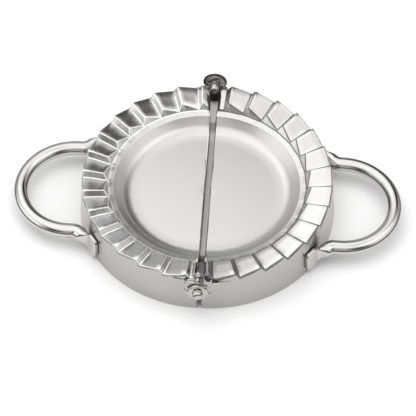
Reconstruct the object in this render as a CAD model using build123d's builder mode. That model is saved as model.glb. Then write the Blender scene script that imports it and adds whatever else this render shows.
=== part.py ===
from build123d import *
import math
import os

# Folding press for filled dough pockets, opened flat on the table.
# Two half-round dishes with pleated rims stand on cutting walls and fold
# together about one hinge line. Each piece of the left half is drawn as on the
# right one, with its own lead to the first pleat so that the two rims mesh when
# folded shut, and given half a turn about the ring's axis.
#
# Frame: +Z up, Y along the hinge line, X across it, Z = 0 on the table.
# The origin lies on the table, midway along and across the whole press.
# All lengths are millimetres, all angles degrees.

# ---------------------------------------------------------------- dimensions
# Overall
rim_radius = 47.5            # outer edge of the pleated rim, from its half's own centre
crest_height = 19.0          # pleat crests above the table
half_gap = 1.2               # hinge plane to each half's straight edge

# Die plate: dish and pleated rim, one stamping
plate_sheet = 0.8
pleat_length = 10.0          # outer edge in to the foot of the pleats' risers
ledge_width = 0.9            # risers' foot in to the dish
side_run = 3.0               # dish corner in to the floor's corner, before the bend
dish_depth = 6.5             # ledge down to the dish floor
floor_bend = 9.0             # wide bend that makes most of the dish's side
ledge_bend = 1.2
lip_depth = 3.2              # turned-down straight edge, from its top

# Pleats
pleats_per_half = 15
right_lead_angle = 2.8       # right half: straight edge to the first crest, round from the near end
left_lead_angle = 4.8        # left half: the same, round from the far end
fall_angle = 2.0             # crest to the low beside it
pleat_depth = 2.3            # crest to low at the outer edge
crest_slope = 0.17           # fall of a crest line towards the dish, for its length
low_slope = 0.19             # the same for a low line
riser_lean = 0.55            # outwards for its height
riser_foot = 0.5             # least height of a riser above the ledge
closed_gap = 0.6             # between the two rims, folded shut

# Cutter wall and its hinge lugs
wall_sheet = 0.7
wall_flare = 1.5             # the wall leans out by this much from crest height to the table
wall_end_gap = 0.97          # hinge plane to the ends of the wall
wall_over_angle = 2.0        # turned past each straight edge before the ends are cut square
cut_reach = 2.1              # of each cut past the wall's sheet, inwards and outwards
rim_seat = 0.05              # wall's top edge under the pleats
lug_radius = 5.5
lug_drop = 4.3               # pin axis down to the centre of a lug
lug_top_drop = 2.6           # crest plane down to the shoulder of a lug
eye_wall = 0.85              # of the lug's eye round its hole
rim_trim = 0.6               # rim's corners cut back beside the hinge
lug_clearance = 0.2          # between the two lugs, and between rim and lug
lug_window = 0.8             # opening in the wall round a lug
seat_overlap = 0.6           # of a lug's seat over the opening's edge
seat_reach = 9.8             # hinge plane to the end of the inner lug's seat
tail_height = 5.0
tail_start = 2.75            # hinge plane to the end of the tail inside its lug
tail_bend_start = 6.6        # hinge plane to the joggle of the outer lug's tail
tail_bend_end = 9.6
tail_end = 11.6
tail_bend = 1.2

# Hinge pins and what is on them
pin_radius = 1.4
pin_clearance = 0.06         # radial, pin in every hole round it
pin_side_play = 0.12         # along the pin, between the lugs and the stack
rim_end_clearance = 0.2      # ends of the rim to the widest thing between them
stack_gap = 0.03             # along the pin, between pieces of one stack
near_tail_length = 1.3       # pin inside the inner lug
far_tail_head_rim = 0.3      # far pin's inner head, beyond its shank
far_tail_head_length = 2.6
spacer_length = 3.75
spacer_wall = 0.45
spacer_flare_length = 1.5
spacer_foot_rim = 2.0        # flared end of the sleeve, beyond its bore
near_washer_radius = 4.2
near_washer_thickness = 0.5
near_cap_radius = 4.0
near_cap_thickness = 0.9
cap_hub_wall = 0.95
cap_hub_length = 0.75
nub_radius = 2.0
nub_length = 2.1
nub_round = 1.0
pin_end_chamfer = 0.25
disc_edge_round = 0.25
far_washer_radius = 4.05
far_washer_thickness = 0.4
far_cap_radius = 4.8
far_cap_thickness = 0.6
far_head_rim = 0.9
far_head_length = 1.0
far_head_round = 0.5

# Handles
rod_radius = 2.8
rod_height = 7.1             # axis of the rod above the table
loop_radius = 20.6           # of the rod's axis in the half-round loop
arm_length = 1.6             # straight arm between the loop and the bend beside the wall
right_handle_turn = -1.9     # each handle stands a little aside, round its half's centre
left_handle_turn = 0.2
paddle_angle = 37.0          # middle of the handle to the line of each flattened end
arm_bend = 4.5               # radius of the rod's axis where an arm turns to the wall
rod_stand = 1.4              # rod's axis outside the middle of the flattened end
flatten_length = 4.2         # over which the rod is pressed flat
pressed_width = 7.0          # of the rod's end, where it runs into the paddle
pressed_thickness = 1.3      # thinner than the paddle, so that it ends inside it
paddle_lap = 1.2             # paddle back over the pressed length
paddle_length = 6.5
paddle_thickness = 1.5
paddle_width = 10.0
paddle_drop = 1.0            # rod's axis down to the middle of the paddle
paddle_foot_round = 3.0
paddle_top_round = 1.5
weld_gap = 0.1               # paddle to wall

# ------------------------------------------------------------- worked-out sizes
NEAR = -1
FAR = 1

pleat_pitch = (180 - right_lead_angle - left_lead_angle - fall_angle) / (pleats_per_half - 1)
riser_radius = rim_radius - pleat_length             # foot of the risers
dish_radius = riser_radius - ledge_width
floor_radius = dish_radius - side_run
low_foot = crest_height - pleat_depth - low_slope * pleat_length
ledge_height = low_foot - riser_foot
floor_height = ledge_height - dish_depth

bore_radius = pin_radius + pin_clearance
tail_head_radius = pin_radius + far_tail_head_rim
rim_end_gap = tail_head_radius + rim_end_clearance
pin_height = crest_height - (pleat_depth - closed_gap) / 2
lug_height = pin_height - lug_drop
shoulder_height = crest_height - lug_top_drop
tail_top = crest_height - pleat_depth - plate_sheet - lug_clearance    # under the lowest of the pleats
eye_radius = bore_radius + eye_wall
rim_end_distance = rim_radius - rim_trim
lug_distance = rim_end_distance + lug_clearance      # ring's axis to the inside of the inner lug
outer_lug_distance = lug_distance + wall_sheet + lug_clearance
lug_stack_end = outer_lug_distance + wall_sheet

spacer_start = lug_stack_end + pin_side_play
near_washer_start = spacer_start + spacer_length + stack_gap
near_cap_start = near_washer_start + near_washer_thickness + stack_gap
near_disc_start = near_cap_start + cap_hub_length
nub_start = near_disc_start + near_cap_thickness
near_reach = nub_start + nub_length

far_washer_start = lug_stack_end + pin_side_play
far_cap_start = far_washer_start + far_washer_thickness + stack_gap
far_head_start = far_cap_start + far_cap_thickness + stack_gap
far_reach = far_head_start + far_head_length

# The near pin reaches further out than the far one, so the ring stands off the origin.
ring_y = (near_reach - far_reach) / 2

half_centre = Vector(half_gap, ring_y, 0)
half_axis = Axis((half_gap, ring_y, 0), (0, 0, 1))
half_turn = Location((0, 2 * ring_y, 0), (0, 0, 180))
side_slope = math.degrees(math.atan2(ledge_height - floor_height, dish_radius - floor_radius))


def wall_outer_radius(height):
    """Outside radius of the leaning cutter wall at a height above the table."""
    return rim_radius + wall_flare * (1 - height / crest_height)


def radial_plane(angle):
    """Upright plane through the right half's centre: x outwards, y up."""
    a = math.radians(angle)
    return Plane(half_centre, x_dir=(math.cos(a), math.sin(a), 0), z_dir=(math.sin(a), -math.cos(a), 0))


def end_plane(end, distance):
    """Upright plane across the hinge line near one end, facing outwards: y up."""
    return Plane((0, ring_y + end * distance, 0), x_dir=(-end, 0, 0), z_dir=(0, end, 0))


def pin_plane(end, distance):
    """Plane across a pin, facing outwards, with its origin on the pin's axis."""
    return Plane((0, ring_y + end * distance, pin_height), x_dir=(-end, 0, 0), z_dir=(0, end, 0))


def pleat_stations(lead_angle, over_angle=0):
    """Angle, depth and inward slope of every radial line that the pleats run through."""
    stations = [(-90 - over_angle, pleat_depth, low_slope)]
    for pleat in range(pleats_per_half):
        crest = -90 + lead_angle + pleat * pleat_pitch
        stations.append((crest, 0, crest_slope))
        stations.append((crest + fall_angle, pleat_depth, low_slope))
    stations.append((90 + over_angle, pleat_depth, low_slope))
    return stations


def pleat_top(depth, slope, radius):
    """Height of the pleats' top on one radial line."""
    return crest_height - depth - slope * (rim_radius - radius)


def riser_top(depth, slope):
    """Radius and height where one radial line of the pleats meets the leaning riser."""
    level_fall = pleat_top(depth, slope, riser_radius) - ledge_height
    rise = level_fall / (1 - slope * riser_lean)
    return riser_radius + riser_lean * rise, ledge_height + rise


def dish_corners(below=0):
    """Corners of the dish's line at a depth square to the sheet, from the middle outwards."""
    shift = below * math.tan(math.radians(side_slope / 2))
    return [
        (0, floor_height - below),
        (floor_radius + shift, floor_height - below),
        (dish_radius + shift, ledge_height - below),
        (riser_radius + plate_sheet / 2, ledge_height - below),
    ]


def clear_beside_hinge(from_distance, to_gap):
    """Take away the strip beside the hinge plane, beyond a distance from the ring's axis."""
    reach = 2 * rim_radius - from_distance
    for end in (NEAR, FAR):
        with BuildSketch(Plane((0, ring_y + end * (from_distance + reach / 2), 0))) as strip:
            Rectangle(2 * to_gap, reach)
        extrude(strip.sketch, amount=2 * crest_height, mode=Mode.SUBTRACT)


# ------------------------------------------------------------------ die plates
def die_plate(lead_angle):
    """Dish, ledge and pleated rim of one half, as the right half stands."""
    riser_sheet = plate_sheet * math.hypot(1, riser_lean)
    with BuildPart() as plate:
        # Pleated rim and its riser: one ruled loft through every crest and low.
        for angle, depth, slope in pleat_stations(lead_angle):
            outer_top = pleat_top(depth, slope, rim_radius)
            riser_edge, inner_top = riser_top(depth, slope)
            with BuildSketch(radial_plane(angle)):
                with BuildLine():
                    Polyline(
                        (rim_radius, outer_top),
                        (riser_edge, inner_top),
                        (riser_radius, ledge_height),
                        (riser_radius, ledge_height - plate_sheet),
                        (riser_radius + riser_sheet, ledge_height - plate_sheet),
                        (riser_edge + riser_sheet, inner_top - plate_sheet),
                        (rim_radius, outer_top - plate_sheet),
                        close=True,
                    )
                make_face()
        loft(ruled=True)
        # Dish and ledge, turned through half a circle.
        with BuildSketch(radial_plane(-90)):
            with BuildLine():
                FilletPolyline(
                    *dish_corners(plate_sheet / 2),
                    radius=(floor_bend + plate_sheet / 2, ledge_bend - plate_sheet / 2),
                )
            trace(line_width=plate_sheet)
        revolve(axis=half_axis, revolution_arc=180)
        # Lip turned down along the straight edge, as deep below the dish all along.
        for end in (NEAR, FAR):
            with BuildSketch(Plane((half_gap, ring_y, 0), x_dir=(0, end, 0), z_dir=(end, 0, 0))):
                with BuildLine():
                    lip_top = FilletPolyline(*dish_corners(), radius=(floor_bend, ledge_bend))
                    lip_points = [(x, z - lip_depth) for x, z in dish_corners()]
                    lip_foot = FilletPolyline(*lip_points, radius=(floor_bend, ledge_bend))
                    Line(lip_top @ 0, lip_foot @ 0)
                    Line(lip_top @ 1, lip_foot @ 1)
                make_face()
            extrude(amount=end * plate_sheet)
        # Ends of the rim: set back from the hinge plane, and squared off inside the lugs.
        clear_beside_hinge(dish_radius, rim_end_gap)
        clear_beside_hinge(rim_end_distance, 2 * lug_radius)
    return plate.part


with BuildPart() as right_die_plate:
    add(die_plate(right_lead_angle))

with BuildPart() as left_die_plate:
    with Locations(half_turn):
        add(die_plate(left_lead_angle))


# ---------------------------------------------------------------- cutter walls
def lug_outline(end, distance, seat):
    """Upright lug of the right half: round foot, shoulder and eye; a seat closes its opening."""
    side = -end
    with BuildSketch(end_plane(end, distance)) as lug:
        with Locations((0, lug_height)):
            Circle(lug_radius)
        if seat:
            with Locations((0, lug_height)):
                Circle(lug_radius + lug_window + seat_overlap)
            with Locations((side * seat_reach / 2, lug_height)):
                Rectangle(seat_reach, 2 * lug_radius)
            # Beyond the hinge plane only the round foot is left.
            with BuildSketch(mode=Mode.SUBTRACT):
                with Locations((-side * lug_radius * 2 + side * wall_end_gap, lug_height)):
                    Rectangle(4 * lug_radius, 4 * lug_radius)
                with Locations((0, lug_height)):
                    Circle(lug_radius, mode=Mode.SUBTRACT)
        with Locations((0, shoulder_height)):
            Rectangle(4 * seat_reach, 4 * lug_radius, align=(Align.CENTER, Align.MIN), mode=Mode.SUBTRACT)
        with Locations((0, pin_height)):
            Circle(eye_radius)
        with Locations((0, pin_height - eye_radius / 2)):
            Rectangle(2 * eye_radius, eye_radius)
        with Locations((0, pin_height)):
            Circle(bore_radius, mode=Mode.SUBTRACT)
    extrude(lug.sketch, amount=wall_sheet)


def tail_point(end, x):
    """Point in plan on the middle of the right wall's sheet, at half the tail's height."""
    radius = wall_outer_radius(tail_top - tail_height / 2) - wall_sheet / 2
    return (x, ring_y + end * math.sqrt(radius**2 - (x - half_gap) ** 2))


def cutter_wall(lead_angle):
    """Leaning wall of one half with its two hinge lugs, as the right half stands."""
    with BuildPart() as wall:
        # A little more than half a turn, then cut square beside the hinge plane.
        with BuildSketch(radial_plane(-90 - wall_over_angle)):
            with BuildLine():
                Polyline(
                    (wall_outer_radius(0), 0),
                    (wall_outer_radius(crest_height), crest_height),
                    (wall_outer_radius(crest_height) - wall_sheet, crest_height),
                    (wall_outer_radius(0) - wall_sheet, 0),
                    close=True,
                )
            make_face()
        revolve(axis=half_axis, revolution_arc=180 + 2 * wall_over_angle)
        clear_beside_hinge(rim_radius / 2, wall_end_gap)
        # Openings that let the other half's lugs swing through.
        for end in (NEAR, FAR):
            with BuildSketch(end_plane(end, lug_distance - cut_reach)):
                with Locations((0, lug_height)):
                    Circle(lug_radius + lug_window)
            extrude(amount=2 * cut_reach, mode=Mode.SUBTRACT)
        # Top edge cut to the underside of the pleats.
        for angle, depth, slope in pleat_stations(lead_angle, over_angle=wall_over_angle):
            with BuildSketch(radial_plane(angle)):
                with BuildLine():
                    cut_radii = (rim_radius - cut_reach, rim_radius + cut_reach)
                    cut_heights = [pleat_top(depth, slope, r) - plate_sheet - rim_seat for r in cut_radii]
                    Polyline(
                        (cut_radii[0], cut_heights[0]),
                        (cut_radii[1], cut_heights[1]),
                        (cut_radii[1], crest_height + wall_sheet),
                        (cut_radii[0], crest_height + wall_sheet),
                        close=True,
                    )
                make_face()
        loft(ruled=True, mode=Mode.SUBTRACT)
        # Inner lug at the far end, flush in the wall.
        lug_outline(FAR, lug_distance, seat=True)
        # Outer lug at the near end, joined to the wall by a joggled tail.
        lug_outline(NEAR, outer_lug_distance, seat=False)
        tail_y = ring_y + NEAR * (outer_lug_distance + wall_sheet / 2)
        with BuildSketch(Plane.XY.offset(tail_top - tail_height)):
            with BuildLine():
                FilletPolyline(
                    (tail_start, tail_y),
                    (tail_bend_start, tail_y),
                    tail_point(NEAR, tail_bend_end),
                    tail_point(NEAR, tail_end),
                    radius=tail_bend,
                )
            trace(line_width=wall_sheet)
        extrude(amount=tail_height)
    return wall.part


with BuildPart() as right_cutter_wall:
    add(cutter_wall(right_lead_angle))

with BuildPart() as left_cutter_wall:
    with Locations(half_turn):
        add(cutter_wall(left_lead_angle))


# --------------------------------------------------------------------- handles
# Drawn about the rod's own height, with x along the middle of the handle.
paddle_distance = wall_outer_radius(rod_height) + weld_gap + paddle_thickness / 2
wall_lean = math.atan2(wall_flare, crest_height)

pa = math.radians(paddle_angle)
arm_along = Vector(-math.sin(pa), math.cos(pa), 0)
arm_outward = Vector(math.cos(pa), math.sin(pa), 0)
arm_across = arm_outward * math.cos(wall_lean) + Vector(0, 0, 1) * math.sin(wall_lean)
# The arm ends where its bend runs out on the line of the rod's axis beside the wall.
bend_middle = loop_radius + arm_bend
arm_end = (paddle_distance + rod_stand + arm_bend - bend_middle * math.sin(pa)) / math.cos(pa)
loop_middle = arm_end + arm_length

with BuildPart() as handle_shape:
    with BuildLine():
        loop = CenterArc((loop_middle, 0), loop_radius, start_angle=0, arc_size=90)
        arm = Line(loop @ 1, (arm_end, loop_radius))
        bend = JernArc(arm @ 1, arm % 1, radius=arm_bend, arc_size=-(90 - paddle_angle))
    with BuildSketch(Plane(loop @ 0, x_dir=(0, 0, 1), z_dir=loop % 0)):
        Circle(rod_radius)
    sweep()
    # Pressed flat against the wall's side, then spread into an upright paddle.
    press_start = bend @ 1
    press_end = press_start + arm_along * flatten_length - arm_outward * rod_stand
    with BuildSketch(Plane(press_start, x_dir=(0, 0, 1), z_dir=arm_along)):
        Circle(rod_radius)
    with BuildSketch(Plane(press_end, x_dir=-arm_across, z_dir=arm_along)):
        Rectangle(pressed_thickness, pressed_width)
    loft()
    paddle_middle = paddle_length / 2 - paddle_lap
    with BuildSketch(Plane(press_end, x_dir=arm_along, z_dir=arm_across)) as paddle_side:
        with Locations((paddle_middle, -paddle_drop)):
            Rectangle(paddle_length, paddle_width)
        low_corners = paddle_side.vertices().group_by(Axis.Y)[0]
        fillet(low_corners, radius=paddle_foot_round)
        free_corner = paddle_side.vertices().group_by(Axis.Y)[-1].sort_by(Axis.X)[-1]
        fillet(free_corner, radius=paddle_top_round)
    extrude(amount=paddle_thickness / 2, both=True)
    mirror(about=Plane.XZ)

with BuildPart() as right_handle:
    with Locations(Location((half_gap, ring_y, rod_height), (0, 0, right_handle_turn))):
        add(handle_shape.part)

with BuildPart() as left_handle:
    with Locations(half_turn * Location((half_gap, ring_y, rod_height), (0, 0, left_handle_turn))):
        add(handle_shape.part)


# ------------------------------------------------------------------ hinge pins
def ring_sketch(end, start, radius):
    """Flat ring round a pin, facing outwards, with the common bore."""
    with BuildSketch(pin_plane(end, start)) as ring:
        Circle(radius)
        Circle(bore_radius, mode=Mode.SUBTRACT)
    return ring.sketch


def rims(part, radius):
    """Circular edges of one radius."""
    return part.edges().filter_by(lambda edge: edge.geom_type == GeomType.CIRCLE and abs(edge.radius - radius) < 0.01)


near_tail_start = lug_distance - near_tail_length
near_shank_length = nub_start - stack_gap - near_tail_start

with BuildPart() as near_hinge_pin:
    with BuildSketch(pin_plane(NEAR, near_tail_start)):
        Circle(pin_radius)
    extrude(amount=near_shank_length)
    chamfer(near_hinge_pin.edges(), length=pin_end_chamfer)

with BuildPart() as near_spacer_sleeve:
    # Plain tube that flares out to the washer.
    flare_start = spacer_start + spacer_length - spacer_flare_length
    with BuildSketch(pin_plane(NEAR, spacer_start)):
        Circle(bore_radius + spacer_wall)
    extrude(amount=spacer_length - spacer_flare_length)
    with BuildSketch(pin_plane(NEAR, flare_start)):
        Circle(bore_radius + spacer_wall)
    with BuildSketch(pin_plane(NEAR, spacer_start + spacer_length)):
        Circle(bore_radius + spacer_foot_rim)
    loft()
    with BuildSketch(pin_plane(NEAR, spacer_start)):
        Circle(bore_radius)
    extrude(amount=spacer_length, mode=Mode.SUBTRACT)

with BuildPart() as near_washer:
    extrude(ring_sketch(NEAR, near_washer_start, near_washer_radius), amount=near_washer_thickness)

with BuildPart() as near_cap:
    with BuildSketch(pin_plane(NEAR, near_cap_start)):
        Circle(bore_radius + cap_hub_wall)
    extrude(amount=cap_hub_length)
    with BuildSketch(pin_plane(NEAR, near_disc_start)):
        Circle(near_cap_radius)
    extrude(amount=near_cap_thickness)
    fillet(rims(near_cap, near_cap_radius).sort_by(Axis.Y)[0], radius=disc_edge_round)
    with BuildSketch(pin_plane(NEAR, nub_start)):
        Circle(nub_radius)
    extrude(amount=nub_length)
    fillet(rims(near_cap, nub_radius).sort_by(Axis.Y)[0], radius=nub_round)
    with BuildSketch(pin_plane(NEAR, near_cap_start)):
        Circle(bore_radius)
    extrude(amount=nub_start - near_cap_start, mode=Mode.SUBTRACT)

far_tail_end = lug_distance - pin_side_play

with BuildPart() as far_hinge_pin:
    with BuildSketch(pin_plane(FAR, far_tail_end - far_tail_head_length)):
        Circle(tail_head_radius)
    extrude(amount=far_tail_head_length)
    with BuildSketch(pin_plane(FAR, far_tail_end)):
        Circle(pin_radius)
    extrude(amount=far_head_start - far_tail_end)
    with BuildSketch(pin_plane(FAR, far_head_start)):
        Circle(pin_radius + far_head_rim)
    extrude(amount=far_head_length)
    fillet(rims(far_hinge_pin, pin_radius + far_head_rim).sort_by(Axis.Y)[-1], radius=far_head_round)

with BuildPart() as far_washer:
    extrude(ring_sketch(FAR, far_washer_start, far_washer_radius), amount=far_washer_thickness)

with BuildPart() as far_cap_disc:
    extrude(ring_sketch(FAR, far_cap_start, far_cap_radius), amount=far_cap_thickness)
    fillet(rims(far_cap_disc, far_cap_radius).sort_by(Axis.Y)[-1], radius=disc_edge_round)

# ---------------------------------------------------------------------- export
pieces = {
    "left_die_plate": left_die_plate,
    "right_die_plate": right_die_plate,
    "left_cutter_wall": left_cutter_wall,
    "right_cutter_wall": right_cutter_wall,
    "left_handle": left_handle,
    "right_handle": right_handle,
    "near_hinge_pin": near_hinge_pin,
    "near_spacer_sleeve": near_spacer_sleeve,
    "near_washer": near_washer,
    "near_cap": near_cap,
    "far_hinge_pin": far_hinge_pin,
    "far_washer": far_washer,
    "far_cap_disc": far_cap_disc,
}
os.makedirs("parts", exist_ok=True)
for name, piece in pieces.items():
    piece.part.label = name
    export_step(piece.part, "parts/" + name + ".step")
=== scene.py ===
"""Looks of a folding press for filled dough pockets, opened flat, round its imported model.

Each sub-assembly is a class that holds its own sizes in millimetres and builds
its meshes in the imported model's frame: +Z up, Y along the hinge line, X across
it, Z = 0 on the table. Meshes are in metres, with their place in the vertices.
"""

import logging
import math
from collections.abc import Sequence
from dataclasses import dataclass
from enum import Enum

import bmesh
import bpy
import numpy as np
from mathutils import Matrix, Vector


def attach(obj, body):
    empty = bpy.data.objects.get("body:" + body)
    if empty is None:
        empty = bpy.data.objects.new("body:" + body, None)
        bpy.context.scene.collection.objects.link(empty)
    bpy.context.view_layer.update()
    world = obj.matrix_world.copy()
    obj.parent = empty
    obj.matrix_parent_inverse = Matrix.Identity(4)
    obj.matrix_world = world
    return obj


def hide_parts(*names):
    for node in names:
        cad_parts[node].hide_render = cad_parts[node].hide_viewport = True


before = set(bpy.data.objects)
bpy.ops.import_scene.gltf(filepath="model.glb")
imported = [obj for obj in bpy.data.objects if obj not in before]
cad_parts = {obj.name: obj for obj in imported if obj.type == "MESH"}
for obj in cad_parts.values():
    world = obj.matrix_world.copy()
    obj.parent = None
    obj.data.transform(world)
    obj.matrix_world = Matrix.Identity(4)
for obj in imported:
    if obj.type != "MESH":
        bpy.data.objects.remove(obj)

LOG = logging.getLogger("press")
MM = 0.001
RING_Y = 3.0                 # ring's axis along the hinge line, mm
RIM_RADIUS = 47.5            # outer edge of the pleated rim, mm
HALF_GAP = 1.2               # hinge plane to each half's straight edge, mm
CREST_HEIGHT = 19.0          # pleat crests above the table, mm
SHEET = 0.8                  # die plate's sheet, mm
PIN_HEIGHT = 18.15           # pins' axis above the table, mm
FLAT_WEIGHT = 80             # how much wide faces set the shading along their edges
MERGE = 0.01                 # points of the sheet nearer than this are one, mm

Material = bpy.types.Material
Object = bpy.types.Object
Tree = bpy.types.NodeTree
Socket = bpy.types.NodeSocket
Point = tuple[float, float]


class Half(Enum):
    """Which half of the press a piece belongs to, and the body it rides on."""

    LEFT = "left_half"
    RIGHT = "right_half"

    @property
    def side(self) -> str:
        """First word of the half's node names."""
        return self.value.split("_")[0]

    @property
    def placing(self) -> Matrix:
        """Places what is drawn as the right half.

        Returns:
            No move for the right half, half a turn about the ring's axis for the left one.
        """
        if self is Half.RIGHT:
            return Matrix.Identity(4)
        middle = Matrix.Translation((0, RING_Y * MM, 0))
        return middle @ Matrix.Rotation(math.pi, 4, "Z") @ middle.inverted()


class Grain(Enum):
    """Which way the polishing lines of a finish run."""

    ALONG_HINGE = "along the hinge line, as the sheet was brushed before stamping"
    ROUND_RING = "round the ring, as the strip was brushed along its length"
    NONE = "turned and polished all over"


# ------------ small tools
def linear(hex_colour: str) -> tuple[float, float, float, float]:
    """Turns an sRGB hex colour to linear light.

    Args:
        hex_colour: six hex digits after a hash.

    Returns:
        Linear red, green, blue and a full alpha.
    """
    parts = [int(hex_colour[i : i + 2], 16) / 255 for i in (1, 3, 5)]
    red, green, blue = [p / 12.92 if p <= 0.04045 else ((p + 0.055) / 1.055) ** 2.4 for p in parts]
    return (red, green, blue, 1.0)


def add_node(tree: Tree, kind: str, inputs: dict | None = None, **settings: object) -> bpy.types.Node:
    """Adds one node with its settings, values and links.

    Args:
        tree: node tree that gets the node.
        kind: Blender's type name of the node.
        inputs: value or linked output for each input, by its name or number.
        settings: the node's own properties.

    Returns:
        The new node.
    """
    node = tree.nodes.new(kind)
    for name, value in settings.items():
        setattr(node, name, value)
    for key, value in (inputs or {}).items():
        if isinstance(value, Term):
            value = value.socket
        if isinstance(value, Socket):
            tree.links.new(value, node.inputs[key])
        else:
            node.inputs[key].default_value = value
    return node


class Term:
    """A number field in a node tree that is written down as ordinary arithmetic."""

    def __init__(self, tree: Tree, socket: Socket) -> None:
        """Wraps an output socket of a tree."""
        self.tree = tree
        self.socket = socket

    def math(self, operation: str, *others: "Term | float", clamp: bool = False) -> "Term":
        """Applies a Math node.

        Args:
            operation: the Math node's operation.
            others: second and third values.
            clamp: keep the result between 0 and 1.

        Returns:
            The result as a term.
        """
        inputs = dict(enumerate([self, *others]))
        node = add_node(self.tree, "ShaderNodeMath", inputs, operation=operation, use_clamp=clamp)
        return Term(self.tree, node.outputs[0])

    def __add__(self, other: "Term | float") -> "Term":
        """Sum."""
        return self.math("ADD", other)

    def __sub__(self, other: "Term | float") -> "Term":
        """Difference."""
        return self.math("SUBTRACT", other)

    def __mul__(self, other: "Term | float") -> "Term":
        """Product."""
        return self.math("MULTIPLY", other)

    def __truediv__(self, other: "Term | float") -> "Term":
        """Quotient."""
        return self.math("DIVIDE", other)

    def mixed(self, other: "Term | float", share: "Term") -> "Term":
        """This term where share is 0 and the other one where it is 1."""
        return self + (self * -1 + other) * share


def term(tree: Tree, kind: str, inputs: dict | None = None, **settings: object) -> Term:
    """Adds a node as add_node does, and gives its first output as a term."""
    return Term(tree, add_node(tree, kind, inputs, **settings).outputs[0])


def parts_of(tree: Tree, vector: Socket | Term) -> list[Term]:
    """X, Y and Z of a vector, as terms."""
    return [Term(tree, part) for part in add_node(tree, "ShaderNodeSeparateXYZ", {0: vector}).outputs]


def length(x: Term, y: Term) -> Term:
    """Length of the vector with these two parts."""
    return (x * x + y * y).math("SQRT")


def smooth_range(tree: Tree, value: Socket, start: float, end: float, most: float = 1.0) -> Term:
    """Smooth step of a value, from 0 at the start to the most at the end."""
    inputs = {"Value": value, "From Min": start, "From Max": end, "To Min": 0.0, "To Max": most}
    return term(tree, "ShaderNodeMapRange", inputs, interpolation_type="SMOOTHSTEP")


def cleared(owner: Material | bpy.types.World) -> Tree:
    """Node tree of a new material or world, without its first nodes."""
    owner.use_nodes = True
    owner.node_tree.nodes.clear()
    return owner.node_tree


def new_object(name: str, mesh: bpy.types.Mesh) -> Object:
    """Links an object for a mesh to the scene, at the origin.

    Args:
        name: the object's name.
        mesh: its mesh.

    Returns:
        The new object.
    """
    obj = bpy.data.objects.new(name, mesh)
    bpy.context.scene.collection.objects.link(obj)
    return obj


def applied(obj: Object, name: str) -> Object:
    """Turns an object's evaluated shape to a plain mesh and takes the object's place.

    Args:
        obj: object with live modifiers, removed afterwards.
        name: name of the finished piece.

    Returns:
        New object without modifiers.
    """
    graph = bpy.context.evaluated_depsgraph_get()
    mesh = bpy.data.meshes.new_from_object(obj.evaluated_get(graph), depsgraph=graph)
    mesh.name = name
    bpy.data.objects.remove(obj)
    return new_object(name, mesh)


def arc(centre: Point, radius: float, start: float, end: float, steps: int) -> list[Point]:
    """Points of an arc.

    Args:
        centre: middle of the arc.
        radius: its radius.
        start: first angle, degrees.
        end: last angle, degrees.
        steps: number of straight runs.

    Returns:
        The points, ends included.
    """
    angles = [math.radians(start + (end - start) * i / steps) for i in range(steps + 1)]
    return [(centre[0] + radius * math.cos(a), centre[1] + radius * math.sin(a)) for a in angles]


def rounded(points: Sequence[Point], radii: Sequence[float], steps: int = 6) -> list[Point]:
    """Rounds the inner corners of an open line of points.

    Args:
        points: corners of the line.
        radii: rounding radius of each inner corner, 0 for none.
        steps: straight runs in each rounding.

    Returns:
        Points of the rounded line.
    """
    line = [points[0]]
    for before, corner, after, radius in zip(points, points[1:], points[2:], radii):
        if radius <= 0:
            line.append(corner)
            continue
        c = np.array(corner, float)
        u = (np.array(before, float) - c) / math.dist(before, corner)
        v = (np.array(after, float) - c) / math.dist(after, corner)
        half = math.acos(max(-1.0, min(1.0, float(u @ v)))) / 2
        middle = c + (u + v) / np.linalg.norm(u + v) * radius / math.sin(half)
        a = c + u * radius / math.tan(half) - middle
        b = c + v * radius / math.tan(half) - middle
        first = math.degrees(math.atan2(a[1], a[0]))
        turn = (math.degrees(math.atan2(b[1], b[0])) - first + 180) % 360 - 180
        line.extend(arc(tuple(middle), radius, first, first + turn, steps))
    line.append(points[-1])
    return line


def eased(share: float) -> float:
    """Smooth step from 0 to 1 over the same range of a share."""
    share = max(0.0, min(1.0, share))
    return share * share * (3 - 2 * share)


def corner_loss(radius: float, left: float) -> float:
    """How much a rounded corner takes away at a distance before the end of the part."""
    return radius - math.sqrt(max(0.0, radius**2 - max(0.0, radius - left) ** 2))


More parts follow.
